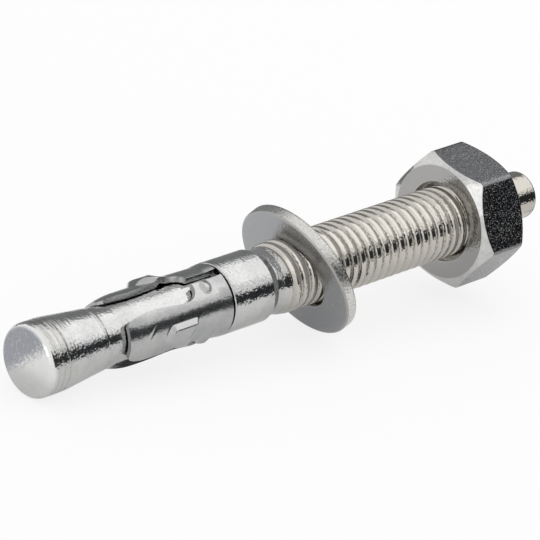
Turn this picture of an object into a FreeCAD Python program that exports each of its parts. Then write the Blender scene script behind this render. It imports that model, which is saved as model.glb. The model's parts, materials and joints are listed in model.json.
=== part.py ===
"""Wedge anchor for concrete, M10, lying on a level surface as it comes to rest.

Every piece is first made along the stud's own axis: +X runs from the cone end to the
threaded end, +Z is straight up and the clock angles turn about +X, clockwise as seen
from the cone end, with 0 at the top. At the end the whole anchor is laid down on z = 0.
"""
import FreeCAD, Part
import math
import os

Vector = FreeCAD.Vector
X_AXIS, Y_AXIS, Z_AXIS = Vector(1, 0, 0), Vector(0, 1, 0), Vector(0, 0, 1)

# Stud: one cold-formed and turned piece
STUD_LENGTH = 91.0
LAND_RADIUS = 4.95
LAND_LENGTH = 3.9
LAND_EDGE_RADIUS = 0.42
LAND_BLEND_RADIUS = 22.0
CONE_HALF_ANGLE = 6.5
NECK_RADIUS = 3.87
NECK_BLEND_RADIUS = 3.0
COLLAR_START = 31.6
COLLAR_RADIUS = 4.95
COLLAR_LENGTH = 7.0
COLLAR_EDGE_RADIUS = 0.25
COLLAR_TAPER_LENGTH = 1.1
THREAD_PITCH_RADIUS = 4.5
THREAD_END = 84.0
THREAD_CHAMFER = 1.0
DOG_RADIUS = 3.35
DOG_EDGE_RADIUS = 0.5

# Expansion clip: stamped sheet rolled round the neck, open along one split
CLIP_END_GAP = 0.4
CLIP_TIP = 12.8
SHEET_THICKNESS = 0.8
CLIP_CLEARANCE = 0.08
TAB_SWELL = 0.12
WAIST_FROM_END = 1.7
WAIST_BLEND_RADIUS = 3.0
END_FLARE = 0.18
TIP_BEVEL_LENGTH = 2.0
TIP_BEVEL_DEPTH = 0.36
TAB_WIDTH_DEG = 82.0
FIRST_TAB_CLOCK = 82.5
SPLIT_SLOT_DEG = 47.5
SPLIT_GAP_DEG = 14.0
SPLIT_CLOCK = 14.5
SLOT_LENGTH = 13.3
SLOT_BULB_DEG = 6.5
TIP_CORNER_WIDTH = 1.2
TIP_CORNER_LENGTH = 4.6
TIP_CORNER_BULGE = 0.3

# Pads pressed outwards from the tabs, hollow behind
PAD_FROM_TIP = 7.5
PAD_LENGTH = 4.7
PAD_RAMP = 0.8
PAD_HEIGHT = 0.72
PAD_START_DEG = 30.5
PAD_SIDE_RAMP_DEG = 11.0
PAD_TAIL_DEG = 13.0
PAD_TAIL_DROP = 0.3

# Dimples pressed into the ring behind each slot
DIMPLE_RADIUS = 2.2
DIMPLE_HEIGHT = 0.3
DIMPLE_BEHIND_SLOT = 1.4

# Washer
WASHER_RADIUS = 9.9
WASHER_BORE_RADIUS = 5.35
WASHER_THICKNESS = 1.8
WASHER_OUTER_EDGE = 0.3
WASHER_BORE_EDGE = 0.15
WASHER_CENTRE = 47.7
WASHER_LEAN = 22.5

# Hexagon nut
NUT_START = 74.6
NUT_HEIGHT = 8.0
NUT_ACROSS_FLATS = 17.0
NUT_CHAMFER_RADIUS = 8.0
NUT_CROWN_RADIUS = 17.8
NUT_CORNER_ROUND = 0.35
NUT_THREAD_CLEARANCE = 0.06
NUT_SINK_RADIUS = 5.7
NUT_CORNER_CLOCK = 38.0

# Places that follow from the sizes above
FAR = 4.0 * LAND_RADIUS
CLIP_END = COLLAR_START - CLIP_END_GAP
SLOT_END = CLIP_TIP + SLOT_LENGTH
CLIP_INNER = NECK_RADIUS + CLIP_CLEARANCE
TAB_INNER = CLIP_INNER + TAB_SWELL
TAB_OUTER = TAB_INNER + SHEET_THICKNESS
PLAIN_SLOT_DEG = (360.0 - 3.0 * TAB_WIDTH_DEG - SPLIT_SLOT_DEG) / 2.0
TAB_CLOCKS = [FIRST_TAB_CLOCK + k * (TAB_WIDTH_DEG + PLAIN_SLOT_DEG) for k in range(3)]


def on_section(x, r):
    """Point of a lathe section: x along the axis, r out from it."""
    return Vector(x, 0, r)


def rounded_outline(corners):
    """Closed planar wire through corners (x, r, rounding); each rounding is a tangent arc."""
    count = len(corners)
    points = [on_section(x, r) for x, r, _ in corners]
    starts, ends, arcs = [], [], []
    for i, (_, _, radius) in enumerate(corners):
        here = points[i]
        back = (points[i - 1] - here).normalize()
        ahead = (points[(i + 1) % count] - here).normalize()
        if radius <= 0:
            starts.append(here)
            ends.append(here)
            arcs.append(None)
            continue
        half = math.acos(max(-1.0, min(1.0, back.dot(ahead)))) / 2.0
        reach = radius / math.tan(half)
        middle = (back + ahead).normalize()
        centre = here + middle * (radius / math.sin(half))
        starts.append(here + back * reach)
        ends.append(here + ahead * reach)
        arcs.append(centre - middle * radius)
    edges = []
    for i in range(count):
        if arcs[i] is not None:
            edges.append(Part.Arc(starts[i], arcs[i], ends[i]).toShape())
        after = starts[(i + 1) % count]
        if (after - ends[i]).Length > 1e-6:
            edges.append(Part.LineSegment(ends[i], after).toShape())
    return Part.Wire(Part.__sortEdges__(edges))


def turned(corners, sweep=360.0, clock=0.0):
    """Solid of revolution about the stud axis; a part turn starts at the given clock angle."""
    face = Part.Face(rounded_outline(corners))
    solid = face.revolve(Vector(0, 0, 0), X_AXIS, sweep)
    solid.rotate(Vector(0, 0, 0), X_AXIS, clock)
    return solid


def wedge(x_from, x_to, clock_from, clock_to):
    """Everything between two radial planes and two cross planes, out past the clip."""
    section = [(x_from, 0, 0), (x_from, FAR, 0), (x_to, FAR, 0), (x_to, 0, 0)]
    return turned(section, clock_to - clock_from, clock_from)


def round_slot_end(x, clock, half_deg):
    """Cone with its point on the axis: cuts a round hole of equal angle at every radius."""
    cone = Part.makeCone(0, FAR * math.tan(math.radians(half_deg)), FAR, Vector(x, 0, 0), Z_AXIS)
    cone.rotate(Vector(0, 0, 0), X_AXIS, clock)
    return cone


def make_stud():
    """Cone, neck, collar, threaded shank at its pitch radius, and the dog point."""
    slope = math.tan(math.radians(CONE_HALF_ANGLE))
    cone_end = LAND_LENGTH + (LAND_RADIUS - NECK_RADIUS) / slope
    collar_end = COLLAR_START + COLLAR_LENGTH
    corners = [
        (0, 0, 0),
        (0, LAND_RADIUS, LAND_EDGE_RADIUS),
        (LAND_LENGTH, LAND_RADIUS, LAND_BLEND_RADIUS),
        (cone_end, NECK_RADIUS, NECK_BLEND_RADIUS),
        (COLLAR_START, NECK_RADIUS, 0),
        (COLLAR_START, COLLAR_RADIUS, COLLAR_EDGE_RADIUS),
        (collar_end, COLLAR_RADIUS, COLLAR_EDGE_RADIUS),
        (collar_end + COLLAR_TAPER_LENGTH, THREAD_PITCH_RADIUS, COLLAR_EDGE_RADIUS),
        (THREAD_END, THREAD_PITCH_RADIUS, 0),
        (THREAD_END + THREAD_CHAMFER, DOG_RADIUS, 0),
        (STUD_LENGTH, DOG_RADIUS, DOG_EDGE_RADIUS),
        (STUD_LENGTH, 0, 0),
    ]
    return turned(corners)


def make_sheet_tube():
    """The rolled sheet before its slots: tabs, waist and flared end, with bevelled tips."""
    waist = CLIP_END - WAIST_FROM_END
    swell_end = SLOT_END
    inner = [
        (CLIP_TIP, TAB_INNER, 0),
        (swell_end, TAB_INNER, WAIST_BLEND_RADIUS),
        (waist, CLIP_INNER, WAIST_BLEND_RADIUS),
        (CLIP_END, CLIP_INNER + END_FLARE, 0),
    ]
    outer = [(x, r + SHEET_THICKNESS, rounding) for x, r, rounding in inner]
    bevel = [
        (CLIP_TIP + TIP_BEVEL_LENGTH, TAB_OUTER, TIP_BEVEL_LENGTH),
        (CLIP_TIP, TAB_OUTER - TIP_BEVEL_DEPTH, 0),
    ]
    return turned(inner + outer[:0:-1] + bevel)


def pad_form(inset, base):
    """Raised pad of a tab whose centre is at the top: its skin, moved in by inset."""
    top = base + PAD_HEIGHT
    start = CLIP_TIP + PAD_FROM_TIP
    end = start + PAD_LENGTH
    ramp_angle = math.atan2(PAD_HEIGHT, PAD_RAMP)
    shift = inset * math.tan(ramp_angle / 2.0)
    hat = [
        (start + shift, NECK_RADIUS / 2.0, 0),
        (start + shift, base, 0),
        (start + shift + PAD_RAMP, top, 0),
        (end - shift - PAD_RAMP, top, 0),
        (end - shift, base, 0),
        (end - shift, NECK_RADIUS / 2.0, 0),
    ]
    clock_from = PAD_START_DEG - TAB_WIDTH_DEG / 2.0
    clock_to = TAB_WIDTH_DEG / 2.0
    side_run = TAB_OUTER * math.radians(PAD_SIDE_RAMP_DEG)
    side_shift = math.degrees(inset * math.tan(math.atan2(PAD_HEIGHT, side_run) / 2.0) / base)
    form = turned(hat, clock_to - clock_from - side_shift, clock_from + side_shift)

    def beside(clock, r):
        angle = math.radians(clock)
        return Vector(start, -r * math.sin(angle), r * math.cos(angle))

    low = beside(clock_from + side_shift, base)
    high = beside(clock_from + side_shift + PAD_SIDE_RAMP_DEG, top)
    tail_high = beside(clock_to - PAD_TAIL_DEG, top)
    tail_low = beside(clock_to, top - PAD_TAIL_DROP)
    for foot, head in ((low, high), (tail_low, tail_high)):
        along = (head - foot).normalize()
        outward = along.cross(X_AXIS)
        if outward.dot(foot + head) < 0:
            outward = outward * -1
        a, b = foot - along * FAR, head + along * FAR
        edge = Part.makePolygon([a, b, b + outward * FAR, a + outward * FAR, a])
        form = form.cut(Part.Face(edge).extrude(X_AXIS * PAD_LENGTH))
    return form


def dimple_form(inset):
    """Ball whose cap stands out of the ring at the top, behind a slot."""
    centre = TAB_OUTER + DIMPLE_HEIGHT - DIMPLE_RADIUS
    place = Vector(SLOT_END + DIMPLE_BEHIND_SLOT, 0, centre)
    return Part.makeSphere(DIMPLE_RADIUS - inset, place)


def tip_corner(side):
    """Cutter for one rounded corner of a tab whose edge is at the top."""
    out = side * TIP_CORNER_WIDTH
    wire = Part.BSplineCurve()
    wire.interpolate([
        Vector(CLIP_TIP + TIP_CORNER_LENGTH, 0, 0),
        Vector(CLIP_TIP + TIP_CORNER_LENGTH * TIP_CORNER_BULGE, out * 0.45, 0),
        Vector(CLIP_TIP - TIP_CORNER_BULGE, out, 0),
    ])
    clear = Vector(CLIP_TIP - TIP_CORNER_BULGE, -out, 0)
    back = Vector(CLIP_TIP + TIP_CORNER_LENGTH, -out, 0)
    edges = [wire.toShape(), Part.makePolygon([wire.EndPoint, clear, back, wire.StartPoint])]
    loop = Part.Wire([edges[0]] + edges[1].Edges)
    return Part.Face(loop).extrude(Z_AXIS * FAR)


def make_clip():
    """Sheet tube with pads and dimples pressed out, then slots, split and tab corners cut."""
    clip = make_sheet_tube()
    pad, pad_hollow = pad_form(0, TAB_OUTER), pad_form(SHEET_THICKNESS, TAB_INNER)
    slot_half = PLAIN_SLOT_DEG / 2.0
    raised, hollows = [], []
    for clock in TAB_CLOCKS:
        for shape, group in ((pad, raised), (pad_hollow, hollows)):
            copy = shape.copy()
            copy.rotate(Vector(0, 0, 0), X_AXIS, clock)
            group.append(copy)
    slot_clocks = [clock + TAB_WIDTH_DEG / 2.0 + slot_half for clock in TAB_CLOCKS[:2]]
    split_from = TAB_CLOCKS[0] - TAB_WIDTH_DEG / 2.0 - SPLIT_SLOT_DEG
    split_ends = [split_from + slot_half, split_from + SPLIT_SLOT_DEG - slot_half]
    for clock in slot_clocks + [SPLIT_CLOCK + SPLIT_GAP_DEG + slot_half / 4.0]:
        for inset, group in ((0, raised), (SHEET_THICKNESS, hollows)):
            ball = dimple_form(inset)
            ball.rotate(Vector(0, 0, 0), X_AXIS, clock)
            group.append(ball)
    bore = turned([
        (CLIP_TIP, 0, 0), (CLIP_TIP, TAB_INNER, 0), (SLOT_END, TAB_INNER, WAIST_BLEND_RADIUS),
        (CLIP_END - WAIST_FROM_END, CLIP_INNER, WAIST_BLEND_RADIUS),
        (CLIP_END, CLIP_INNER + END_FLARE, 0), (CLIP_END, 0, 0),
    ])
    clip = clip.fuse(raised).cut(bore)
    for hollow in hollows:
        clip = clip.cut(hollow)

    bulb_half = slot_half + SLOT_BULB_DEG
    round_at = SLOT_END - TAB_OUTER * math.tan(math.radians(bulb_half))
    before = CLIP_TIP - 1.0
    cutters = []
    for clock in slot_clocks:
        cutters.append(wedge(before, round_at, clock - slot_half, clock + slot_half))
        cutters.append(round_slot_end(round_at, clock, bulb_half))
    cutters.append(wedge(before, round_at, split_from, split_from + SPLIT_SLOT_DEG))
    cutters.append(wedge(before, SLOT_END, split_ends[0], split_ends[1]))
    cutters += [round_slot_end(round_at, clock, bulb_half) for clock in split_ends]
    half_gap = SPLIT_GAP_DEG / 2.0
    cutters.append(wedge(before, CLIP_END + 1.0, SPLIT_CLOCK - half_gap, SPLIT_CLOCK + half_gap))
    for clock in TAB_CLOCKS:
        for side in (-1, 1):
            corner = tip_corner(side)
            corner.rotate(Vector(0, 0, 0), X_AXIS, clock + side * TAB_WIDTH_DEG / 2.0)
            cutters.append(corner)
    for cutter in cutters:
        clip = clip.cut(cutter)
    return clip.removeSplitter()


def make_washer():
    """Flat washer with a rolled rim, leaning with its top towards the cone end."""
    half = WASHER_THICKNESS / 2.0
    washer = turned([
        (-half, WASHER_BORE_RADIUS, WASHER_BORE_EDGE),
        (-half, WASHER_RADIUS, WASHER_OUTER_EDGE),
        (half, WASHER_RADIUS, WASHER_OUTER_EDGE),
        (half, WASHER_BORE_RADIUS, WASHER_BORE_EDGE),
    ])
    washer.rotate(Vector(0, 0, 0), Y_AXIS, -WASHER_LEAN)
    washer.translate(X_AXIS * WASHER_CENTRE)
    return washer


def make_nut():
    """Hexagon nut, crowned at about 30 degrees on both faces, with a countersunk thread bore."""
    corner = NUT_ACROSS_FLATS / math.sqrt(3.0)
    ring = [
        Vector(0, -corner * math.sin(k * math.pi / 3.0), corner * math.cos(k * math.pi / 3.0))
        for k in range(6)
    ]
    prism = Part.Face(Part.makePolygon(ring + ring[:1])).extrude(X_AXIS * NUT_HEIGHT)
    sides = [e for e in prism.Edges if abs(e.BoundBox.XLength - NUT_HEIGHT) < 1e-6]
    prism = prism.makeFillet(NUT_CORNER_ROUND, sides)
    crown = math.sqrt(NUT_CROWN_RADIUS ** 2 - NUT_CHAMFER_RADIUS ** 2)
    for centre in (crown, NUT_HEIGHT - crown):
        prism = prism.common(Part.makeSphere(NUT_CROWN_RADIUS, X_AXIS * centre, X_AXIS))
    bore_radius = THREAD_PITCH_RADIUS + NUT_THREAD_CLEARANCE
    sink = NUT_SINK_RADIUS - bore_radius
    nut = prism.cut(turned([
        (0, 0, 0), (0, NUT_SINK_RADIUS, 0), (sink, bore_radius, 0),
        (NUT_HEIGHT - sink, bore_radius, 0), (NUT_HEIGHT, NUT_SINK_RADIUS, 0), (NUT_HEIGHT, 0, 0),
    ]))
    nut.rotate(Vector(0, 0, 0), X_AXIS, NUT_CORNER_CLOCK)
    nut.translate(X_AXIS * NUT_START)
    return nut


def resting_slope():
    """Angle of the stud when the cone end and the washer's rim touch the surface."""
    lean = math.radians(WASHER_LEAN)
    inset = WASHER_THICKNESS / 2.0 - WASHER_OUTER_EDGE
    rim = WASHER_RADIUS - WASHER_OUTER_EDGE
    rim_x = WASHER_CENTRE - inset * math.cos(lean) + rim * math.sin(lean)
    rim_r = inset * math.sin(lean) + rim * math.cos(lean)
    end_x = LAND_EDGE_RADIUS
    end_r = LAND_RADIUS - LAND_EDGE_RADIUS
    span = math.hypot(rim_x - end_x, rim_r - end_r)
    tilt = math.atan2(rim_r - end_r, rim_x - end_x)
    return tilt + math.asin((WASHER_OUTER_EDGE - LAND_EDGE_RADIUS) / span)


PIECES = {
    "anchor_stud": make_stud(),
    "expansion_clip": make_clip(),
    "washer": make_washer(),
    "hex_nut": make_nut(),
}
SLOPE_DEG = math.degrees(resting_slope())
for piece in PIECES.values():
    piece.rotate(Vector(0, 0, 0), Y_AXIS, -SLOPE_DEG)
box = Part.makeCompound(list(PIECES.values())).optimalBoundingBox(False, False)
ORIGIN = Vector((box.XMin + box.XMax) / 2.0, (box.YMin + box.YMax) / 2.0, box.ZMin)

os.makedirs("parts", exist_ok=True)
for name, piece in PIECES.items():
    piece.translate(ORIGIN * -1)
    piece.exportStep("parts/" + name + ".step")
    print(name, "valid", piece.isValid(), "solids", len(piece.Solids), "volume", round(piece.Volume, 2))
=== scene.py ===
"""Wedge anchor dressed over its packed frame: stud with its rolled thread, clip, washer, nut.

Lengths are metres. Every piece is first worked out along the stud: x runs from the cone end
to the threaded end, and a clock angle turns about x, clockwise as seen from the cone end,
with 0 at the top. The finished points are then laid down where the frame has the stud.
"""

import json
import math

import bpy
import numpy as np
from bpy.props import FloatProperty, FloatVectorProperty, IntProperty, PointerProperty
from mathutils import Euler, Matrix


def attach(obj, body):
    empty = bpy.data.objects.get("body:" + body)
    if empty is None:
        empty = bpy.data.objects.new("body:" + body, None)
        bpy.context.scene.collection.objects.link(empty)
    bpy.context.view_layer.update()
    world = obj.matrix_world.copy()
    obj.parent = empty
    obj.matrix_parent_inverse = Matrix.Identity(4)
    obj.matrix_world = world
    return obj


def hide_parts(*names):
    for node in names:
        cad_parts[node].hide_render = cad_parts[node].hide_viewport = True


bl_info = {
    "name": "Wedge Anchor",
    "version": (1, 0, 0),
    "blender": (4, 5, 0),
    "location": "3D View > Sidebar > Anchor",
    "description": "Builds the visible surfaces of a wedge anchor over its frame",
    "category": "Add Mesh",
}

MM = 0.001
CELL = 2e-7  # points that round to the same multiple of this are one
FLAG_LIFT = 0.3 * MM  # keeps the flags' feet off the floor
SENSOR = 36.0  # width of the camera's film, in millimetres
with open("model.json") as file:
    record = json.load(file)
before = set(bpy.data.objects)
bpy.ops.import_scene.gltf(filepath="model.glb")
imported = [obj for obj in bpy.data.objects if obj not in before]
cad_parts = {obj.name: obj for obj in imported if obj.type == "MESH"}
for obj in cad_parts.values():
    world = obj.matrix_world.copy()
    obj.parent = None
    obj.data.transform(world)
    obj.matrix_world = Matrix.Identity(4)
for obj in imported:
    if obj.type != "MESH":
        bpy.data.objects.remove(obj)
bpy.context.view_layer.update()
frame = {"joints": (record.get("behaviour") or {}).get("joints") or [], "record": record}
TURN_JOINT = next(j for j in frame["joints"] if j["name"] == "nut_turn")
END_MOUNT = next(m for m in frame["record"]["mounts"] if m["name"] == "hole_bottom_face")
SLOPE = math.atan2(TURN_JOINT["axis"][2], TURN_JOINT["axis"][0])
CONE_END = np.array(END_MOUNT["pos_m"], float)


def tilted(rise):
    """Where a tilt about y takes the axes, as rows: x goes to (cos, 0, sin), z to (-sin, 0,
    cos)."""
    return np.array([[math.cos(rise), 0.0, math.sin(rise)], [0.0, 1.0, 0.0],
                     [-math.sin(rise), 0.0, math.cos(rise)]])


LAID = tilted(SLOPE)


# Sizes and finishes

def length(name, description, millimetres):
    """A length property whose default is given in millimetres."""
    return FloatProperty(name=name, description=description, default=millimetres * MM,
                         unit="LENGTH", precision=5)


def angle(name, description, degrees):
    """An angle property whose default is given in degrees."""
    return FloatProperty(name=name, description=description, default=math.radians(degrees),
                         subtype="ANGLE", unit="ROTATION")


def share(name, description, value):
    """A plain number from 0 to 1."""
    return FloatProperty(name=name, description=description, default=value, min=0.0, max=1.0,
                         subtype="FACTOR")


def tint(name, description, value):
    """A linear colour."""
    return FloatVectorProperty(name=name, description=description, default=value, min=0.0,
                               max=1.0, size=3, subtype="COLOR")


class StudSizes(bpy.types.PropertyGroup):
    """Sizes of the stud."""
    whole: length("Length", "From the cone end to the hammer point", 91.0)
    land: length("Land radius", "Radius of the cone's wide end", 4.95)
    land_length: length("Land length", "Straight part at the wide end", 3.9)
    land_edge: length("Land edge", "Rounding of the cone end's rim", 0.95)
    land_blend: length("Land blend", "Rounding from the wide end into the cone", 22.0)
    cone_half: angle("Cone half angle", "Slope of the cone to the axis", 6.5)
    neck: length("Neck radius", "Radius under the clip", 3.87)
    neck_blend: length("Neck blend", "Rounding from the cone into the neck", 3.0)
    collar_start: length("Collar start", "Where the neck meets the collar", 31.6)
    collar: length("Collar radius", "Radius of the collar", 4.95)
    collar_length: length("Collar length", "Length of the collar", 7.0)
    collar_edge: length("Collar edge", "Rounding of the collar's edges", 0.25)
    collar_taper: length("Collar taper", "Slope from the collar to the thread blank", 1.1)
    blank: length("Blank radius", "Radius before the thread is rolled", 4.5)
    crest: length("Crest radius", "Radius of the thread's crests", 4.93)
    crest_share: share("Crest share", "Share of the pitch that a crest takes", 0.48)
    crest_crown: length("Crest crown", "How far a crest's sides lie under its middle", 0.02)
    root: length("Root radius", "Radius of the thread's roots", 4.42)
    pitch: length("Pitch", "Distance from crest to crest", 1.5)
    thread_from: length("Thread start", "Where the rolled ridges begin to rise", 40.9)
    thread_full: length("Full thread", "Where the ridges reach their height", 43.0)
    valley: length("Valley place", "A valley at the top of the stud, under the washer", 45.075)
    thread_end: length("Thread end", "Where the end chamfer meets the hammer point", 85.0)
    end_chamfer: FloatProperty(name="End chamfer", default=1.15,
                               description="Radius gained for each length back from there")
    dog: length("Hammer point radius", "Radius of the plain end", 3.35)
    dog_edge: length("Hammer point edge", "Rounding of the plain end", 0.5)
    around: IntProperty(name="Segments", description="Faces around the stud", default=128)


class ClipSizes(bpy.types.PropertyGroup):
    """Sizes of the expansion clip."""
    tip: length("Tab tip", "Where the tabs end, from the cone end", 12.8)
    end: length("Ring end", "Where the ring ends, at the collar", 31.2)
    sheet: length("Sheet", "Thickness of the sheet", 0.8)
    tab: length("Tab radius", "Outer radius of the tabs", 4.87)
    taper_from: length("Taper start", "Where the radius begins to fall to the waist", 25.1)
    waist: length("Waist radius", "Outer radius where the ring hugs the neck", 4.75)
    waist_place: length("Waist place", "Where the waist is", 29.5)
    flare: length("End radius", "Outer radius of the ring's end", 4.93)
    slot_end: length("Slot end", "Where the round slots end", 26.1)
    bulb: angle("Slot bulb", "How far a slot's round end widens to each side", 6.5)
    bulb_from: length("Bulb start", "Where a slot begins to widen", 18.0)
    shorter: length("Shorter tab", "How much the first tab falls short of the others", 0.8)
    tab_width: angle("Tab width", "Width of a tab", 82.0)
    first_tab: angle("First tab", "Clock of the first tab's middle", 82.5)
    tab_step: angle("Tab step", "Clock from one tab to the next", 115.25)
    split: angle("Split", "Clock of the middle of the split", 14.5)
    split_width: angle("Split width", "Width of the split", 14.0)
    corner_run: length("Corner length", "Length of a tab's shaped corner", 4.6)
    corner_in: length("Corner width", "Width that a tab loses at its tip", 1.2)
    corner_round: length("Corner rounding", "How far a tip falls back at its corners", 0.75)
    bevel_run: length("Tip bevel length", "Length of the hammered tip", 3.4)
    bevel_drop: length("Tip bevel depth", "Thickness that the tip loses", 0.45)
    pad_start: length("Pad start", "Where a pad begins at its middle", 18.9)
    pad_bow: length("Pad bow", "How far its start falls back at the sides", 1.2)
    pad_end: length("Pad end", "Where a pad ends", 24.8)
    pad_ramp: length("Pad ramp", "Length of a pad's end slope", 0.9)
    pad_height: length("Pad height", "How far a pad stands out", 0.72)
    pad_from: angle("Pad side", "Clock from a tab's middle to its pad's first side", -9.0)
    pad_middle: angle("Pad middle", "Clock from a tab's middle to its pad's middle", 20.0)
    pad_half: angle("Pad half width", "Clock from a pad's middle to its sides", 26.0)
    pad_side: angle("Pad side slope", "Width of the slope on that side", 7.5)
    pad_tail: angle("Pad tail", "Width of the falling part at the tab's edge", 17.0)
    pad_slant: length("Pad slant", "How far the pad's start falls back in its tail", 3.0)
    pad_fall: length("Pad fall", "How far the pad falls towards the tab's edge", 0.45)
    dent_place: length("Dent place", "Where the knock on the first tab begins", 16.66)
    dent_clock: angle("Dent clock", "Clock where it begins", 82.8)
    dent_length: length("Dent length", "How far it runs along the stud", 1.3)
    dent_turn: angle("Dent turn", "How far it runs round the stud", -16.2)
    dent_width: length("Dent width", "Half width of the knock", 0.16)
    dent_depth: length("Dent depth", "Depth of the knock", 0.06)
    dimple_place: length("Dimple place", "Where the dimples are", 27.9)
    dimple_radius: length("Dimple radius", "Radius of a dimple", 1.25)
    dimple_height: length("Dimple height", "How far a dimple stands out", 0.3)
    inset: length("Inset", "How much smaller pads and dimples are on the inner skin", 0.3)
    edge: length("Stamped edge", "Rounding of the stamped edges", 0.07)


class WasherSizes(bpy.types.PropertyGroup):
    """Sizes of the washer."""
    rim: length("Radius", "Outer radius", 9.9)
    bore: length("Bore radius", "Radius of the hole", 5.45)
    thickness: length("Thickness", "Thickness of the washer", 1.8)
    rim_edge: length("Rim edge", "Rounding of the rim", 0.3)
    bore_edge: length("Bore edge", "Rounding of the hole", 0.15)
    place: length("Place", "Where its middle stands on the stud", 47.7)
    lean: angle("Lean", "How far its top leans to the cone end", 22.5)
    burr: length("Burr", "Unevenness of the punched rim", 0.035)


class NutSizes(bpy.types.PropertyGroup):
    """Sizes of the hexagon nut."""
    start: length("Start", "Where its bearing face stands on the stud", 74.6)
    height: length("Height", "Height of the nut", 8.0)
    flats: length("Across flats", "Distance between opposite flats", 17.0)
    face: length("Face radius", "Radius of the flat ring on each side", 8.05)
    crown: length("Crown radius", "Radius of the rounded chamfer", 15.5)
    corner_round: length("Corner rounding", "Rounding of the six corners", 0.8)
    bore: length("Bore radius", "Crest radius of the thread inside", 4.99)
    groove: length("Groove radius", "Root radius of the thread inside", 5.3)
    pitch: length("Pitch", "Distance from crest to crest inside", 1.5)
    run_out: length("Thread run-out", "Where the groove rises to the countersinks", 0.3)
    sink: length("Countersink radius", "Radius of the countersinks", 5.7)
    corner: angle("Corner", "Clock of a corner", 38.0)
    edge: length("Edge", "Rounding of the pressed edges", 0.14)


class SteelFinish(bpy.types.PropertyGroup):
    """Colours and gloss of the stainless steel."""
    steel: tint("Steel", "Clean stainless steel", (0.585, 0.585, 0.572))
    sheet: tint("Sheet steel", "Stamped sheet of the clip", (0.49, 0.49, 0.482))
    # thread: a warm tint over the thread, painting in a warm reflection.
    thread: tint("Thread steel", "Warmer steel of the rolled thread", (0.555, 0.53, 0.48))
    # root: painted shade in the thread's roots; it also colours the scored turned lines near the
    # cone end and is the washer's dull tone.
    root: tint("Thread root", "Dull steel in the thread's roots", (0.47, 0.445, 0.40))
    # face: a painted highlight on the cone end's rim and face, brighter towards the top.
    face: tint("End face", "Clean part of the sawn end face", (0.85, 0.85, 0.83))
    # mottle: a painted dark reflection, mottled, on the upper side of the end face.
    mottle: tint("Mottle", "Dark mottle of the sawn end face", (0.32, 0.33, 0.36))
    washer: tint("Washer steel", "Punched sheet", (0.36, 0.365, 0.375))
    rim: tint("Washer rim", "Torn rim of the punched washer", (0.68, 0.67, 0.64))
    nut: tint("Nut steel", "Chamfers and corners of the pressed nut", (0.66, 0.655, 0.64))
    nut_face: tint("Nut face", "Turned bearing face of the nut", (0.38, 0.375, 0.365))
    nut_side: tint("Nut side", "Pitted sides of the nut", (0.15, 0.152, 0.158))
    gloss: share("Roughness", "Roughness of the turned steel", 0.11)
    sheet_gloss: share("Sheet roughness", "Roughness of the stamped sheet", 0.19)
    washer_gloss: share("Washer roughness", "Roughness of the punched washer", 0.22)


class StageSetting(bpy.types.PropertyGroup):
    """Floor, lights, flags and camera."""
    floor: length("Floor radius", "Radius of the floor", 1600.0)
    floor_tone: tint("Floor tone", "Colour of the floor in light", (0.86, 0.86, 0.86))
    floor_seen: share("Floor white", "Share of plain white that the camera sees in it", 0.8)
    floor_mirrored: share("Mirrored white", "Share of plain white that steel mirrors in it", 0.25)
    flag_distance: length("Flag distance", "From the anchor to the dark flags", 750.0)
    flag_left: angle("Left flag", "How high the front flag stands at its left end", 36.0)
    flag_front: angle("Front flag", "How high the front flag stands", 22.0)
    flag_back: angle("Back flag", "How high the back flag stands", 40.0)
    front_grey: tint("Front flag grey", "What the front flag shows in the steel",
                     (0.03, 0.033, 0.036))
    back_grey: tint("Back flag grey", "What the back flag shows in the steel",
                    (0.25, 0.255, 0.26))
    lamp_distance: length("Lamp distance", "From the anchor to the lamps", 600.0)
    softbox: FloatProperty(name="Softbox", description="Strength of the softbox", default=0.42,
                           unit="POWER")
    fill: FloatProperty(name="Fill", description="Strength of the front left light", default=0.22,
                        unit="POWER")
    surround: FloatProperty(name="Surround", description="Strength of the white room", default=1.0)
    eye: FloatVectorProperty(name="Camera place", description="Where the camera stands", size=3,
                             default=(-0.356851, -0.319077, 0.206597), precision=5,
                             subtype="TRANSLATION")
    aim: FloatVectorProperty(name="Camera turn", description="How the camera is turned", size=3,
                             default=tuple(np.radians((67.26521, -9.10099, -44.1432))),
                             subtype="EULER")
    lens: FloatProperty(name="Focal length", description="Focal length in millimetres",
                        default=260.53)


# Surfaces

def around(x, r, clock):
    """Points x along the stud at radius r, swung to the clock angle (degrees) from the top:
    (x, -r sin clock, r cos clock)."""
    turn = np.radians(clock)
    return np.stack(np.broadcast_arrays(x, -r * np.sin(turn), r * np.cos(turn)), axis=-1)


def laid_down(points):
    """The laid axis carries x, the level cross direction y and the square to both z; the cone
    end's centre is the start."""
    return CONE_END + points @ LAID


def grid_faces(rows, columns, first=0):
    """Four-sided faces of a grid stored row after row: each joins (i, j), (i, j + 1),
    (i + 1, j + 1) and (i + 1, j)."""
    i, j = np.meshgrid(np.arange(rows - 1), np.arange(columns - 1), indexing="ij")
    low = first + i * columns + j
    return np.stack([low, low + 1, low + columns + 1, low + columns], axis=-1).reshape(-1, 4)


def merged(points, faces):
    """Which points to keep, so that those in one cell become one, and the faces that join
    them."""
    cells = np.round(points / CELL).astype(np.int64)
    _, kept, where = np.unique(cells, axis=0, return_index=True, return_inverse=True)
    return kept, where.reshape(-1)[faces]


def joined(points, faces):
    """Points that fall in the same cell become one, and faces that lose a side lose a corner."""
    points = points.reshape(-1, 3)
    kept, faces = merged(points, faces)
    repeated = faces == np.roll(faces, -1, axis=1)
    sides = 4 - repeated.sum(axis=1)
    fours = faces[sides == 4]
    threes = faces[sides == 3][~repeated[sides == 3]].reshape(-1, 3)
    return points[kept], fours, threes


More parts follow.
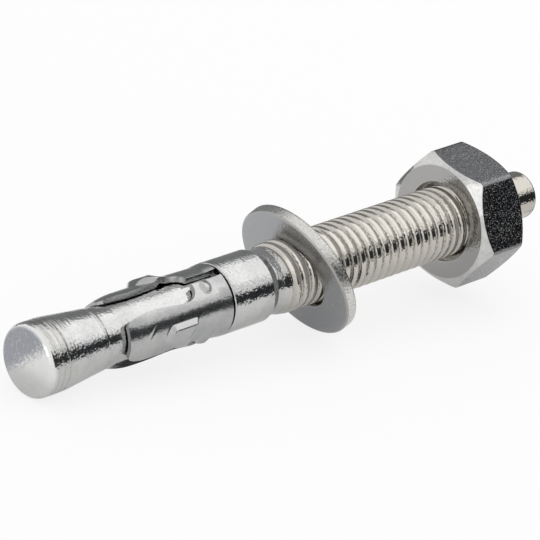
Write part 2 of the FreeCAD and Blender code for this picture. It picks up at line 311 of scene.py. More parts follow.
def outward(points, fours, threes):
    """Turns every face over if the volume, a sixth of the sum of each triangle's triple
    product, comes out negative."""
    triangles = np.concatenate([fours[:, [0, 1, 2]], fours[:, [0, 2, 3]], threes])
    a, b, c = (points[triangles[:, k]] - points.mean(axis=0) for k in range(3))
    if np.einsum("ij,ij->i", a, np.cross(b, c)).sum() < 0:
        return fours[:, ::-1], threes[:, ::-1]
    return fours, threes


def add_piece(name, points, faces, body, material, sharp=40.0, edge=0.0):
    """Makes a closed mesh of whole arrays, joins its seams, checks that every edge has two
    faces and sets it on its body."""
    points, fours, threes = joined(points, faces)
    fours, threes = outward(points, fours, threes)
    mesh = bpy.data.meshes.new(name)
    mesh.from_pydata(laid_down(points).tolist(), [], fours.tolist() + threes.tolist())
    mesh.validate()
    sides = np.concatenate([fours[:, [0, 1]], fours[:, [1, 2]], fours[:, [2, 3]], fours[:, [3, 0]],
                            threes[:, [0, 1]], threes[:, [1, 2]], threes[:, [2, 0]]])
    _, uses = np.unique(np.sort(sides, axis=1), axis=0, return_counts=True)
    if (uses != 2).any():
        raise RuntimeError(f"{name} is open along {int((uses != 2).sum())} edges")
    mesh.shade_smooth()
    mesh.set_sharp_from_angle(angle=math.radians(sharp))
    mesh.materials.append(material)
    piece = bpy.data.objects.new(name, mesh)
    bpy.context.scene.collection.objects.link(piece)
    if edge > 0.0:
        bevel = piece.modifiers.new("worn_edges", "BEVEL")
        bevel.width = edge
        bevel.segments = 2
        bevel.limit_method = "ANGLE"
        bevel.angle_limit = math.radians(sharp)
        bevel.use_clamp_overlap = True
        bevel.harden_normals = True
    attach(piece, body)
    return piece


def rounded(corners, steps=7):
    """Outline through corners (x, r, rounding). Each rounding is the arc that touches both
    sides: its centre lies on the bisector at rounding / sin(half the corner's angle)."""
    corners = np.array(corners, float)
    outline = []
    for i, (x, r, rounding) in enumerate(corners):
        here = np.array([x, r])
        if rounding <= 0.0:
            outline.append(here[None])
            continue
        back, ahead = corners[i - 1, :2] - here, corners[(i + 1) % len(corners), :2] - here
        back, ahead = back / np.linalg.norm(back), ahead / np.linalg.norm(ahead)
        half = math.acos(float(np.clip(back @ ahead, -1.0, 1.0))) / 2.0
        middle = (back + ahead) / np.linalg.norm(back + ahead)
        centre = here + middle * rounding / math.sin(half)
        start = here + back * rounding / math.tan(half) - centre
        side = -middle * rounding
        swing = np.linspace(-1.0, 1.0, steps) * (math.pi / 2.0 - half)
        across = start - side * (start @ side) / rounding ** 2
        across = across / np.linalg.norm(across) * rounding
        outline.append(centre + np.cos(swing)[:, None] * side - np.sin(swing)[:, None] * across)
    return np.concatenate(outline)


def turned(outline, segments):
    """Grid of an outline of (x, r) carried round the axis; points on the axis close it."""
    clock = np.linspace(0.0, 360.0, segments + 1)
    points = around(outline[:, :1], outline[:, 1:2], clock[None, :])
    return points.reshape(-1, 3), grid_faces(len(outline), segments + 1)


def stacked(*grids):
    """Several (points, faces) grids as one."""
    points, faces, count = [], [], 0
    for grid_points, grid in grids:
        points.append(grid_points)
        faces.append(grid + count)
        count += len(grid_points)
    return np.concatenate(points), np.concatenate(faces)


def wound(x_from, x_to, valley, pitch, radius, segments, phases):
    """Grid wound with the thread: row n at clock c lies at valley + pitch (n + c / 360), held
    between x_from and x_to, and radius(x, phase) gives its r, where phase is the share of a
    pitch past the valley."""
    clock = np.linspace(0.0, 360.0, segments + 1)[None, :]
    first = math.floor((x_from - valley) / pitch) - 2
    last = math.ceil((x_to - valley) / pitch) + 1
    rows = (np.arange(first, last + 1)[:, None] + np.array(phases)[None, :]).reshape(-1, 1)
    x = np.clip(valley + pitch * (rows + clock / 360.0), x_from, x_to)
    phase = (x - valley) / pitch - clock / 360.0
    points = around(x, radius(x, phase), clock)
    return points.reshape(-1, 3), grid_faces(len(rows), segments + 1)


def ridge(s, phase):
    """Thread form: a crowned crest over its share of the pitch, a flank of 60 degrees down from
    its edge, and a root; both bends are eased by a soft minimum and a soft maximum."""
    from_crest = np.abs((phase % 1.0) - 0.5)
    flank = s.crest - (from_crest - s.crest_share / 2.0) * s.pitch / math.tan(math.radians(30.0))
    crest = s.crest - s.crest_crown * (2.0 * from_crest / s.crest_share) ** 2
    ease = 0.02 * MM
    top = crest - ease * np.logaddexp(0.0, (crest - flank) / ease)
    return s.root + ease * np.logaddexp(0.0, (top - s.root) / ease)


def eased(value):
    """0 below 0, 1 above 1 and 3v^2 - 2v^3 between."""
    value = np.clip(value, 0.0, 1.0)
    return value * value * (3.0 - 2.0 * value)


# Shares of a pitch at which the thread has its rows, close together at the ridge's bends
THREAD_PHASES = (0.0, 0.045, 0.08, 0.16, 0.235, 0.265, 0.31, 0.40, 0.5,
                 0.60, 0.69, 0.735, 0.765, 0.84, 0.92, 0.955)


def stud_surface(s):
    """Turned cone, neck and collar, then the wound thread, then the hammer point. The thread's
    ridges rise out of the blank and end under the chamfer, a line of (x, r)."""
    cone_end = s.land_length + (s.land - s.neck) / math.tan(s.cone_half)
    collar_end = s.collar_start + s.collar_length
    front = rounded([
        (0.0, 0.0, 0.0), (0.0, s.land, s.land_edge), (s.land_length, s.land, s.land_blend),
        (cone_end, s.neck, s.neck_blend), (s.collar_start, s.neck, 0.0),
        (s.collar_start, s.collar, s.collar_edge), (collar_end, s.collar, s.collar_edge),
        (collar_end + s.collar_taper, s.blank, s.collar_edge), (s.thread_from, s.blank, 0.0),
    ])
    point = rounded([
        (s.thread_end, s.dog, 0.0), (s.whole, s.dog, s.dog_edge), (s.whole, 0.0, 0.0),
    ])

    def radius(x, phase):
        risen = eased((x - s.thread_from) / (s.thread_full - s.thread_from))
        chamfer = s.dog + (s.thread_end - x) * s.end_chamfer
        return np.minimum(s.blank + (ridge(s, phase) - s.blank) * risen, chamfer)

    thread = wound(s.thread_from, s.thread_end, s.valley, s.pitch, radius, s.around,
                   THREAD_PHASES)
    return stacked(turned(front, s.around), thread, turned(point, s.around))


def tab_middles(c):
    """Clocks of the three tabs' middles, in degrees."""
    return math.degrees(c.first_tab) + math.degrees(c.tab_step) * np.arange(3)


def slot_middles(c):
    """Clocks of the two plain slots' middles, half a step past the first two tabs."""
    return tab_middles(c)[:2] + math.degrees(c.tab_step) / 2.0


def plain_slot(c):
    """Width of a slot between two tabs, in degrees."""
    return math.degrees(c.tab_step - c.tab_width)


def pad_rise(c, x, beside, inset):
    """How far a pad stands out, over x and the angle beside its tab's middle: eased ramps at
    its ends times one at its side, held under a tail that falls to the tab's edge. Its start
    bows and slants back, and its end ramps grow longer towards that edge."""
    bow = c.pad_bow * ((beside - c.pad_middle) / c.pad_half) ** 2
    fall = eased((beside - c.tab_width / 2.0 + c.pad_tail) / c.pad_tail)
    softer = np.clip(beside / c.pad_half, 0.0, 1.0)
    past_start = x - inset - (c.pad_start + bow + c.pad_slant * fall)
    before_end = c.pad_end + 0.4 * bow - inset - x
    ends = np.minimum(past_start / (c.pad_ramp * (1.0 + 1.7 * softer)),
                      before_end / (c.pad_ramp * (1.0 + 2.6 * softer)))
    side = (beside - c.pad_from - inset / c.tab) / c.pad_side
    rise = np.minimum(eased(ends) * eased(side) * c.pad_height,
                      c.pad_height - c.pad_fall * fall)
    on_tab = np.abs(beside) <= c.tab_width / 2.0 + 1e-6
    return np.where(on_tab, np.maximum(rise, 0.0), 0.0)


def dimple_rise(c, x, clock, inset):
    """A raised cosine within the dimple's radius, behind each plain slot and at the split."""
    rise = 0.0 * x
    for place in (*slot_middles(c), math.degrees(c.split + c.split_width) + plain_slot(c) / 8.0):
        apart = np.hypot(x - c.dimple_place, c.tab * np.radians(clock - place))
        off = np.clip(apart / (c.dimple_radius - inset), 0.0, 1.0)
        rise = rise + c.dimple_height * (1.0 + np.cos(np.pi * off)) / 2.0
    return rise


def knock_depth(c, x, clock):
    """A bell-shaped groove along a short line on the first tab."""
    run = np.array([c.dent_length, c.tab * c.dent_turn])
    off = np.stack([x - c.dent_place, c.tab * (np.radians(clock) - c.dent_clock)], axis=-1)
    along = np.clip(off @ run / (run @ run), 0.0, 1.0)
    apart = np.linalg.norm(off - along[..., None] * run, axis=-1)
    return c.dent_depth * np.exp(-(apart / c.dent_width) ** 2)


def clip_radius(c, x, clock, inner):
    """Radius of the sheet's outer or inner skin: the tabs' radius, tapering to the waist and
    flaring at the end, plus pads and dimples. Only the outer skin has the knock and falls
    towards the tips, with the square of the way to them."""
    r = np.interp(x, [c.tip, c.taper_from, c.waist_place, c.end],
                  [c.tab, c.tab, c.waist, c.flare])
    inset = c.inset if inner else 0.0
    for middle in tab_middles(c):
        r = r + pad_rise(c, x, np.radians(clock - middle), inset)
    r = r + dimple_rise(c, x, clock, inset)
    if inner:
        return r - c.sheet
    to_tip = np.clip((c.tip + c.bevel_run - x) / c.bevel_run, 0.0, 1.0)
    return r - c.bevel_drop * to_tip ** 2 - knock_depth(c, x, clock)


def sheet_patch(x, clock):
    """Grid of (x, clock, 0) with its faces."""
    clock = np.broadcast_to(clock, x.shape)
    return np.stack([x, clock, 0.0 * x], axis=-1).reshape(-1, 3), grid_faces(*x.shape)


def clip_ring(c, round_at, bulb, tab_columns):
    """Patch of the ring, from the slots' round ends to the collar. Its first row is a half
    circle round_at + radius * sqrt(1 - off^2) behind each slot and straight behind each tab,
    and it stops on both sides of the split. Its columns behind a tab are the tab's own."""
    half_slot, half_split = plain_slot(c) / 2.0, math.degrees(c.split_width) / 2.0
    half_tab, split = math.degrees(c.tab_width) / 2.0, math.degrees(c.split)
    tabs, slots = tab_middles(c), slot_middles(c)
    before_split = tabs[2] + half_tab + half_slot
    after_split = tabs[0] - half_tab - half_slot
    bend = np.sin(np.linspace(-1.0, 1.0, 21) * math.pi / 2.0)

    def slot_columns(middle, low=-1.0, high=1.0):
        inside = bend[(bend > low + 1e-4) & (bend < high - 1e-4)]
        return middle + np.concatenate([[low], inside, [high]]) * bulb

    clock = np.unique(np.round(np.concatenate([
        slot_columns(after_split, low=(split + half_split - after_split) / bulb),
        *(tab + tab_columns for tab in tabs), *(slot_columns(slot) for slot in slots),
        slot_columns(before_split, high=(split - half_split + 360.0 - before_split) / bulb),
    ]), 9))
    ends = np.array([*slots, before_split, after_split])
    off = np.clip(np.abs(clock[:, None] - ends[None, :]).min(axis=1) / bulb, 0.0, 1.0)
    off = np.where((clock < after_split) | (clock > before_split), 0.0, off)
    base = round_at + c.tab * math.tan(math.radians(bulb)) * np.sqrt(1.0 - off ** 2)
    x = base + np.linspace(0.0, 1.0, 36)[:, None] * (c.end - base)
    return sheet_patch(x, clock)


def clip_tab(c, middle, short, round_at, share_of_tab):
    """Patch of one tab, from its tip to the slots' round ends. Its corners are rounded by a
    quarter circle in (share, x), it narrows towards the tip by a parabola of x, and the
    slots' round ends bite into it with an eased step."""
    along = np.concatenate([[0.0, 0.004, 0.012, 0.024], np.linspace(0.04, 1.0, 92)])[:, None]
    into_corner = np.clip((np.abs(share_of_tab) - 0.80) / 0.20, 0.0, 1.0)
    tip = c.tip + short + c.corner_round * (1.0 - np.sqrt(1.0 - into_corner ** 2))
    x = tip + along * (round_at - tip)
    past_tip = x - c.tip
    parabola = np.polyfit([-0.3 * MM, 0.3 * c.corner_run, c.corner_run],
                          [c.corner_in, 0.45 * c.corner_in, 0.0], 2)
    lost = np.where(past_tip < c.corner_run, np.maximum(np.polyval(parabola, past_tip), 0.0), 0.0)
    bitten = math.degrees(c.bulb) * eased((x - c.bulb_from) / (round_at - c.bulb_from))
    half_width = math.degrees(c.tab_width) / 2.0 - np.degrees(lost / c.tab) - bitten
    return sheet_patch(x, middle + share_of_tab * half_width)


def clip_surface(c):
    """The sheet on a plane of (x, clock): the ring's patch and three tabs' patches before it.
    Both skins share that plane, and a wall joins them along every free edge."""
    bulb = plain_slot(c) / 2.0 + math.degrees(c.bulb)
    round_at = c.slot_end - c.tab * math.tan(math.radians(bulb))
    crowding = math.pi / 2.0 * 0.86
    share_of_tab = np.sin(np.linspace(-1.0, 1.0, 65) * crowding) / math.sin(crowding)
    tab_columns = share_of_tab * (math.degrees(c.tab_width) / 2.0 - math.degrees(c.bulb))
    plane, faces = stacked(
        clip_ring(c, round_at, bulb, tab_columns),
        *(clip_tab(c, middle, short, round_at, share_of_tab)
          for middle, short in zip(tab_middles(c), (c.shorter, 0.0, 0.0))))
    kept, faces = merged(plane * np.array([1.0, 1e-3, 1.0]), faces)
    x, clock = plane[kept, 0], plane[kept, 1]
    outer = around(x, clip_radius(c, x, clock, False), clock)
    inner = around(x, clip_radius(c, x, clock, True), clock)
    sides = np.concatenate([faces[:, [k, (k + 1) % 4]] for k in range(4)])
    _, first, uses = np.unique(np.sort(sides, axis=1), axis=0, return_index=True,
                               return_counts=True)
    free = sides[first[uses == 1]]
    count = len(kept)
    walls = np.stack([free[:, 1], free[:, 0], free[:, 0] + count, free[:, 1] + count], axis=-1)
    return np.concatenate([outer, inner]), np.concatenate([faces, faces[:, ::-1] + count, walls])


def washer_surface(w):
    """Rounded section carried round its own axis, with a slight wave of the punched rim, then
    leaned with its top towards the cone end and moved along the stud."""
    half = w.thickness / 2.0
    section = rounded([
        (-half, w.bore, w.bore_edge), (-half, w.rim, w.rim_edge),
        (half, w.rim, w.rim_edge), (half, w.bore, w.bore_edge),
    ])
    flat = np.linspace(0.0, 1.0, 8)[1:-1, None]
    n = len(section) // 4
    section = np.concatenate([
        section[:n], section[n - 1] + flat * (section[n] - section[n - 1]), section[n:3 * n],
        section[3 * n - 1] + flat * (section[3 * n] - section[3 * n - 1]), section[3 * n:],
        section[:1],
    ])
    clock = np.linspace(0.0, 360.0, 193)
    turn = np.radians(clock)[None, :]
    x, r = section[:, :1], section[:, 1:]
    outer = eased((r - w.bore) / (w.rim - w.bore))
    front = eased(0.5 - x / w.thickness)
    wave = np.sin(3 * turn + 0.7) + 0.6 * np.sin(7 * turn) + 0.4 * np.sin(17 * turn + 2.0) \
        + 0.3 * np.sin(29 * turn + 1.0)
    r = r - w.burr * outer ** 4 * front * (0.5 + 0.22 * wave)
    points = around(x, r, clock[None, :]).reshape(-1, 3) @ tilted(w.lean)
    return points + np.array([w.place, 0.0, 0.0]), grid_faces(len(section), len(clock))


def nut_outline(n):
    """Clocks (degrees) and radii round the hexagon: a corner is an arc that touches both of
    its flats, and a flat's radius is half the width over the cosine from its middle."""
    half = n.flats / 2.0
    bow = np.radians(np.linspace(-30.0, 30.0, 9))
    centre = (half - n.corner_round) / math.cos(math.radians(30.0))
    out, beside = centre + n.corner_round * np.cos(bow), n.corner_round * np.sin(bow)
    corner_clock = np.degrees(np.arctan2(beside, out))
    flat_clock = np.linspace(corner_clock[-1], 60.0 - corner_clock[-1], 23)[1:-1]
    flat_r = half / np.cos(np.radians(flat_clock - 30.0))
    clock = 60.0 * np.arange(6)[:, None] + np.concatenate([corner_clock, flat_clock])
    r = np.tile(np.concatenate([np.hypot(out, beside), flat_r]), 6)
    return np.append(clock, clock[0, 0] + 360.0) + math.degrees(n.corner), np.append(r, r[0])


def nut_surface(n):
    """The hexagon, cut by a ball at each end: x = k - sqrt(crown^2 - r^2). The bore carries a
    wound thread between two countersinks."""
    clock, r_hex = nut_outline(n)
    sink_depth = n.sink - n.bore
    rim = 0.0 * r_hex
    face_r = n.sink + np.linspace(0.0, 1.0, 6)[:-1, None] * (n.face - n.sink) + rim
    chamfer_r = n.face + np.linspace(0.0, 1.0, 7)[:, None] * (r_hex - n.face)
    chamfer_x = math.sqrt(n.crown ** 2 - n.face ** 2) - np.sqrt(n.crown ** 2 - chamfer_r ** 2)
    down = np.linspace(0.0, 1.0, 8)[1:-1, None]
    side_x = chamfer_x[-1] + down * (n.height - 2.0 * chamfer_x[-1])
    end_x = np.vstack([rim + sink_depth, 0.0 * face_r, chamfer_x])
    end_r = np.vstack([rim + n.bore, face_r, chamfer_r])
    x = np.vstack([end_x, side_x, n.height - end_x[::-1]])
    r = np.vstack([end_r, r_hex + 0.0 * side_x, end_r[::-1]])
    bore_x = np.linspace(sink_depth, n.height - sink_depth, 60)[:, None]
    phase = bore_x / n.pitch - clock / 360.0
    to_sink = np.minimum(bore_x - sink_depth, n.height - sink_depth - bore_x)
    form = eased(to_sink / n.run_out) * eased(np.abs((phase % 1.0) - 0.5) * 3.2 - 0.3)
    bore_r = n.bore + (n.groove - n.bore) * form
    points, faces = stacked(
        (around(x, r, clock).reshape(-1, 3), grid_faces(*x.shape)),
        (around(bore_x, bore_r, clock).reshape(-1, 3), grid_faces(*bore_r.shape)[:, ::-1]))
    return points + np.array([n.start, 0.0, 0.0]), faces


# Materials

class Signal:
    """A value inside a material that is written like a number: each operator adds a Math node."""

    def __init__(self, recipe, socket):
        self.recipe, self.socket = recipe, socket

    def maths(self, operation, first, second):
        """Adds a Math node of two values, in their order."""
        return self.recipe.node("ShaderNodeMath", {"operation": operation}, {0: first, 1: second})

    def __add__(self, other):
        return self.maths("ADD", self, other)

    def __radd__(self, other):
        return self.maths("ADD", other, self)

    def __sub__(self, other):
        return self.maths("SUBTRACT", self, other)

    def __rsub__(self, other):
        return self.maths("SUBTRACT", other, self)

    def __mul__(self, other):
        return self.maths("MULTIPLY", self, other)

    def __rmul__(self, other):
        return self.maths("MULTIPLY", other, self)

    def __pow__(self, other):
        return self.maths("POWER", self, other)

    def __rpow__(self, other):
        return self.maths("POWER", other, self)

    def between(self, low, high):
        """Runs from 0 at low to 1 at high, eased, and stays there outside."""
        return self.recipe.node("ShaderNodeMapRange", {"interpolation_type": "SMOOTHSTEP"},
                                {"Value": self, "From Min": low, "From Max": high})


class Recipe:
    """One material, or the world, and its nodes."""

    def __init__(self, holder):
        holder.use_nodes = True
        self.holder, self.tree = holder, holder.node_tree
        self.tree.nodes.clear()

    def node(self, kind, settings=None, sockets=None, out=0):
        """Adds a node: its settings first, then the values or links of its sockets. Gives one
        of its outputs, unless it has none."""
        node = self.tree.nodes.new(kind)
        for key, value in (settings or {}).items():
            setattr(node, key, value)
        for key, value in (sockets or {}).items():
            if isinstance(value, Signal):
                self.tree.links.new(value.socket, node.inputs[key])
            else:
                node.inputs[key].default_value = value
        return Signal(self, node.outputs[out]) if len(node.outputs) else None

    def blend(self, factor, first, second):
        """Colour first where the factor is 0 and second where it is 1."""
        mix = {"data_type": "RGBA", "blend_type": "MIX"}
        colours = {6: opaque(first), 7: opaque(second), 0: factor}
        return self.node("ShaderNodeMix", mix, colours, out=2)


def opaque(colour):
    """A colour with full alpha; a Signal stays as it is."""
    return colour if isinstance(colour, Signal) else (*tuple(colour)[:3], 1.0)


def on_stud(recipe, stretch=(1.0, 1.0, 1.0)):
    """Object coordinates turned into the stud's own, in millimetres, each times its stretch."""
    here = recipe.node("ShaderNodeTexCoord", out="Object")
    start = -(LAID @ CONE_END) / MM
    along = recipe.node("ShaderNodeMapping", {"vector_type": "POINT"}, {
        "Vector": here, "Location": tuple(start), "Rotation": (0.0, SLOPE, 0.0),
        "Scale": (1.0 / MM,) * 3})
    return recipe.node("ShaderNodeVectorMath", {"operation": "MULTIPLY"}, {0: along, 1: stretch})


def noise(recipe, place, scale, detail, roughness, distortion=0.0):
    """Cloudy value from 0 to 1."""
    return recipe.node("ShaderNodeTexNoise", {"noise_dimensions": "3D"}, {
        "Vector": place, "Scale": scale, "Detail": detail, "Roughness": roughness,
        "Distortion": distortion})


def steel(name, clean, dull, rough, grain, lathe=0.0, sides=None, thread=None, face=None,
          cloud=0.35):
    """Bright stainless steel: pickled grain, turned lines, cloudy tone and small nicks. The
    grain is a fine noise in the bump; the turned lines are a noise of x alone; the sides that
    lie along the given axis carry their own sparkling grain and tone, and the ends square to
    it a tone of theirs; the cone end's rim gets a painted highlight, brighter at the top, and
    the upper side of the end face a mottled painted dark reflection; the thread gets a warm
    painted reflection and painted shade in its roots. Places are in millimetres."""
    recipe = Recipe(bpy.data.materials.new(name))
    place = on_stud(recipe)
    x, y, z = (recipe.node("ShaderNodeSeparateXYZ", None, {0: place}, out=axis)
               for axis in "XYZ")
    fine = noise(recipe, place, 3.0, 1.0, 0.4)
    coarse = noise(recipe, place, 0.9, 1.0, 0.4)
    patch = noise(recipe, place, 0.22, 4.0, 0.6, 0.4)
    height = fine * grain + coarse * (grain * 0.8)
    if lathe:
        turned_lines = recipe.node("ShaderNodeTexNoise", {"noise_dimensions": "1D"}, {
            "W": x, "Scale": 2.5, "Detail": 1.0, "Roughness": 0.5})
        near_end = x.between(0.9, 1.5) * (1.0 - x.between(3.0, 5.6))
        faint_pair = x.between(9.9, 10.05) * (1.0 - x.between(10.5, 10.7))
        height = height + turned_lines * ((near_end + faint_pair * 0.5 + 0.12) * lathe)
        scored = near_end * (1.0 - turned_lines.between(0.36, 0.52)) * 0.75
    nicks = recipe.node("ShaderNodeTexVoronoi", {"feature": "F1"}, {
        "Vector": on_stud(recipe, (0.8, 1.3, 1.0)), "Scale": 0.42, "Randomness": 1.0})
    nick = 1.0 - nicks.between(0.05, 0.11)
    height = height - nick * 0.12
    worn = patch.between(0.36, 0.66)
    tone = worn * cloud + fine.between(0.35, 0.7) * 0.18 + nick * 0.25
    colour = recipe.blend(tone, clean, dull)
    if lathe:
        colour = recipe.blend(scored, colour, thread[1])
    if sides is not None:
        axis, pitting, side_tone, end_tone = sides
        pointing = recipe.node("ShaderNodeTexCoord", out="Normal")
        along = recipe.node("ShaderNodeVectorMath", {"operation": "DOT_PRODUCT"},
                            {0: pointing, 1: tuple(axis)}, out="Value")
        on_side = 1.0 - (along * along).between(0.002, 0.02)
        on_end = (along * along).between(0.93, 0.985)
        pits = noise(recipe, place, 5.2, 2.0, 0.5)
        height = height + pits * on_side * pitting
        height = height + pits.between(0.6, 0.68) * on_side * pitting * 0.25
        colour = recipe.blend(on_side * (1.0 - 0.6 * pits.between(0.5, 0.68)), colour, side_tone)
        colour = recipe.blend(on_end * 0.9, colour, end_tone)
    if face is not None:
        # Painted highlight on the cone end's rim and face, brighter towards the top, then a
        # mottled painted dark reflection on the upper side of the end face.
        rim_highlight = 1.0 - x.between(0.5, 1.3)
        on_face = 1.0 - x.between(0.05, 0.35)
        mottled = noise(recipe, place, 2.4, 4.0, 0.7, 0.3)
        upper = (z * 0.85 + y * 0.75 + (mottled - 0.5) * 6.0).between(-0.7, 1.3)
        painted_reflection_patch = on_face * upper * (1.0 - mottled.between(0.5, 0.75) * 0.5)
        colour = recipe.blend(rim_highlight * (0.25 + 0.5 * z.between(-2.5, 0.5)), colour, face[0])
        colour = recipe.blend(painted_reflection_patch, colour, face[1])
    if thread is not None:
        radius = (y * y + z * z) ** 0.5
        on_thread = x.between(41.0, 42.5)
        # Painted shade in the thread's roots.
        root_shade = (1.0 - radius.between(4.44, 4.78)) * on_thread * 0.75
        # Warm tint over the thread: a painted warm reflection.
        colour = recipe.blend(on_thread * 0.9, colour, thread[0])
        colour = recipe.blend(root_shade, colour, thread[1])
    bump = recipe.node("ShaderNodeBump", None, {
        "Strength": 1.0, "Distance": 0.035 * MM, "Height": height})
    gloss = rough + worn * 0.05 + (fine - 0.5) * 0.10 + nick * 0.08
    shader = recipe.node("ShaderNodeBsdfPrincipled", None, {
        "Base Color": colour, "Metallic": 1.0, "Roughness": gloss, "Normal": bump})
    recipe.node("ShaderNodeOutputMaterial", None, {"Surface": shader})
    return recipe.holder


# Operators

class AddStud(bpy.types.Operator):
    """Turned and thread-rolled stud, in place of the plain one"""
    bl_idname = "anchor.add_stud"
    bl_label = "Stud"

    def execute(self, context):
        finish = context.scene.anchor_finish
        coat = steel("stud_steel", finish.steel, finish.washer, finish.gloss, 1.15, lathe=4.2,
                     thread=(finish.thread, finish.root), face=(finish.face, finish.mottle))
        points, faces = stud_surface(context.scene.anchor_stud)
        piece = add_piece("stud", points, faces, "stud", coat)
        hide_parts("anchor_stud")
        return {"FINISHED"}


class AddClip(bpy.types.Operator):
    """Stamped expansion clip with its pressed pads and dimples"""
    bl_idname = "anchor.add_clip"
    bl_label = "Expansion clip"

    def execute(self, context):
        finish = context.scene.anchor_finish
        coat = steel("clip_steel", finish.sheet, finish.washer, finish.sheet_gloss, 0.5,
                     cloud=0.5)
        sizes = context.scene.anchor_clip
        points, faces = clip_surface(sizes)
        piece = add_piece("clip", points, faces, "clip", coat, edge=sizes.edge)
        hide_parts("expansion_clip")
        return {"FINISHED"}


class AddWasher(bpy.types.Operator):
    """Punched flat washer, leaning on the stud"""
    bl_idname = "anchor.add_washer"
    bl_label = "Washer"

    def execute(self, context):
        finish = context.scene.anchor_finish
        sizes = context.scene.anchor_washer
        axis = tilted(sizes.lean)[0] @ LAID
        coat = steel("washer_steel", finish.washer, finish.root, finish.washer_gloss, 0.8,
                     sides=(axis, 1.0, finish.rim, finish.washer))
        points, faces = washer_surface(sizes)
        piece = add_piece("washer_ring", points, faces, "washer", coat)
        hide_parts("washer")
        return {"FINISHED"}


class AddNut(bpy.types.Operator):
    """Pressed hexagon nut with a threaded bore"""
    bl_idname = "anchor.add_nut"
    bl_label = "Hexagon nut"

    def execute(self, context):
        finish = context.scene.anchor_finish
        coat = steel("nut_steel", finish.nut, finish.washer, finish.gloss, 0.6,
                     sides=(LAID[0], 1.3, finish.nut_side, finish.nut_face))
        sizes = context.scene.anchor_nut
        points, faces = nut_surface(sizes)
        piece = add_piece("nut", points, faces, "nut", coat, sharp=24.0,
                          edge=sizes.edge)
        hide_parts("hex_nut")
        return {"FINISHED"}


def stage_object(name, points, faces, material):
    """Adds a piece of the studio, which isn't part of the anchor."""
    mesh = bpy.data.meshes.new(name)
    mesh.from_pydata(points.reshape(-1, 3).tolist(), [], faces.tolist())
    mesh.materials.append(material)
    thing = bpy.data.objects.new(name, mesh)
    bpy.context.scene.collection.objects.link(thing)
    return thing


def seen_white(recipe, share_seen, share_mirrored):
    """How much of plain white shows: one share for the camera and glass, another in gloss, and
    none for light that falls on things."""
    camera, glossy, through = (recipe.node("ShaderNodeLightPath", out=kind) for kind in (
        "Is Camera Ray", "Is Glossy Ray", "Is Transmission Ray"))
    direct = camera.maths("MAXIMUM", camera, through)
    return camera.maths("MAXIMUM", direct * share_seen, glossy * share_mirrored)


def even_glow(recipe, colour):
    """Gives off the same colour everywhere."""
    return recipe.node("ShaderNodeEmission", None, {"Color": opaque(colour), "Strength": 1.0})


def facing(rise, turn):
    """Direction that rises from the floor, swung by the turn from x towards y: (cos rise cos
    turn, cos rise sin turn, sin rise)."""
    return np.stack(np.broadcast_arrays(
        np.cos(rise) * np.cos(turn), np.cos(rise) * np.sin(turn), np.sin(rise)), axis=-1)


def add_floor(setting):
    """Round floor of a few rings, part diffuse and part plain white."""
    turn = np.linspace(0.0, 2.0 * math.pi, 97)
    out = np.array([0.0, 0.05, 0.2, 1.0])[:, None] * setting.floor
    pale = Recipe(bpy.data.materials.new("floor_white"))
    diffuse = pale.node("ShaderNodeBsdfDiffuse", None, {"Color": opaque(setting.floor_tone)})
    white = seen_white(pale, setting.floor_seen, setting.floor_mirrored)
    mixed = pale.node("ShaderNodeMixShader", None,
                      {0: white, 1: diffuse, 2: even_glow(pale, (1.0, 1.0, 1.0))})
    pale.node("ShaderNodeOutputMaterial", None, {"Surface": mixed})
    stage_object("floor", out[..., None] * facing(0.0, turn), grid_faces(4, 97), pale.holder)


def add_flag(setting, name, from_turn, to_turn, grey, skirt):
    """Curved sheet that stands round the anchor between two turns (degrees), with its skirt
    on the floor, and shows in gloss alone. Its top eases from the front's height to the
    left's below -58 degrees and to the back's above -10, and on past 60."""
    degrees = np.linspace(from_turn, to_turn, 49)[None, :]
    turn = np.radians(degrees)
    back = eased((degrees + 10.0) / 45.0) + 1.1 * eased((degrees - 60.0) / 25.0)
    left = eased((-58.0 - degrees) / 25.0)
    top = setting.flag_front + (setting.flag_back - setting.flag_front) * back \
        + (setting.flag_left - setting.flag_front) * left
    upright = setting.flag_distance * facing(np.linspace(0.0, 1.0, 9)[:, None] * top, turn)
    sheet = np.concatenate([skirt * facing(0.0, turn), upright])
    dark = Recipe(bpy.data.materials.new(name))
    dark.node("ShaderNodeOutputMaterial", None, {"Surface": even_glow(dark, grey)})
    flag = stage_object(name, sheet + np.array([0.0, 0.0, FLAG_LIFT]), grid_faces(10, 49),
                        dark.holder)
    flag.visible_camera = flag.visible_diffuse = flag.visible_shadow = False
    flag.visible_transmission = False


def add_lamp(setting, name, power, turn, rise, wide, high):
    """Area lamp that looks at the anchor from a turn and a rise, both in degrees."""
    turn, rise = math.radians(turn), math.radians(rise)
    lamp = bpy.data.lights.new(name, "AREA")
    lamp.shape, lamp.size, lamp.size_y, lamp.energy = "RECTANGLE", high, wide, power
    box = bpy.data.objects.new(name, lamp)
    box.location = setting.lamp_distance * facing(rise, turn)
    box.rotation_euler = Euler((0.0, math.pi / 2.0 - rise, turn), "XYZ")
    bpy.context.scene.collection.objects.link(box)


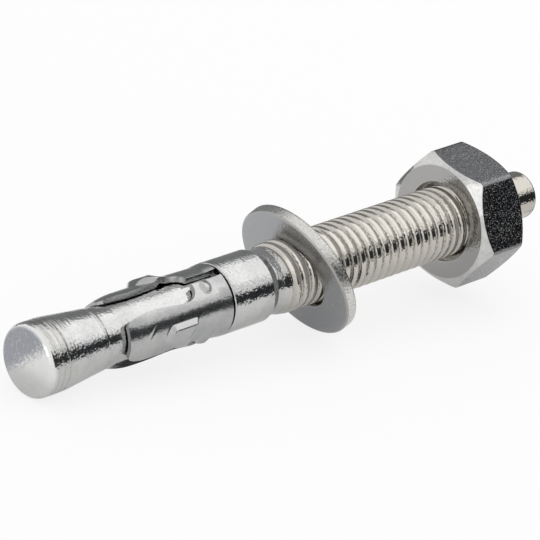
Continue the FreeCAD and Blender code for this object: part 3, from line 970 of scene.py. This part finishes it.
class AddStage(bpy.types.Operator):
    """Pale floor, white room, softbox, dark flags and the camera"""
    bl_idname = "anchor.add_stage"
    bl_label = "Stage"

    def execute(self, context):
        scene, setting = context.scene, context.scene.anchor_stage
        add_floor(setting)
        add_flag(setting, "flag_front", -98.0, -6.0, setting.front_grey, skirt=0.12)
        add_flag(setting, "flag_back", -6.0, 94.0, setting.back_grey, skirt=0.06)

        world = bpy.data.worlds.new("white_room")
        scene.world = world
        room = Recipe(world)
        glow = room.node("ShaderNodeBackground", None, {
            "Color": (1.0, 1.0, 1.0, 1.0), "Strength": setting.surround})
        room.node("ShaderNodeOutputWorld", None, {"Surface": glow})

        add_lamp(setting, "softbox", setting.softbox, -8.0, 50.0, wide=0.62, high=0.44)
        add_lamp(setting, "fill", setting.fill, -166.0, 12.0, wide=0.36, high=0.40)

        camera = bpy.data.cameras.new("camera")
        camera.lens, camera.sensor_width, camera.clip_start = setting.lens, SENSOR, 0.01
        eye = bpy.data.objects.new("camera", camera)
        eye.location, eye.rotation_euler = setting.eye, Euler(setting.aim, "XYZ")
        scene.collection.objects.link(eye)
        scene.camera = eye
        scene.view_settings.view_transform = "Standard"
        return {"FINISHED"}


OPERATORS = (AddStud, AddClip, AddWasher, AddNut, AddStage)
SETTINGS = {
    "anchor_stud": StudSizes, "anchor_clip": ClipSizes, "anchor_washer": WasherSizes,
    "anchor_nut": NutSizes, "anchor_finish": SteelFinish, "anchor_stage": StageSetting,
}


class AnchorPanel(bpy.types.Panel):
    """Lists the pieces and their sizes"""
    bl_idname = "VIEW3D_PT_anchor"
    bl_label = "Wedge anchor"
    bl_space_type = "VIEW_3D"
    bl_region_type = "UI"
    bl_category = "Anchor"

    def draw(self, context):
        for operator in OPERATORS:
            self.layout.operator(operator.bl_idname)
        for name, group in SETTINGS.items():
            box = self.layout.box()
            box.label(text=group.__doc__)
            for key in group.__annotations__:
                box.prop(getattr(context.scene, name), key)


def register():
    """Makes the sizes, the operators and the panel known to Blender."""
    for group in (*SETTINGS.values(), *OPERATORS, AnchorPanel):
        bpy.utils.register_class(group)
    for name, group in SETTINGS.items():
        setattr(bpy.types.Scene, name, PointerProperty(type=group))


def unregister():
    """Takes them away again."""
    for name in SETTINGS:
        delattr(bpy.types.Scene, name)
    for group in reversed((*SETTINGS.values(), *OPERATORS, AnchorPanel)):
        bpy.utils.unregister_class(group)


def main():
    """Builds every piece and the stage."""
    register()
    bpy.ops.anchor.add_stud()
    bpy.ops.anchor.add_clip()
    bpy.ops.anchor.add_washer()
    bpy.ops.anchor.add_nut()
    bpy.ops.anchor.add_stage()


if __name__ == "__main__":
    main()
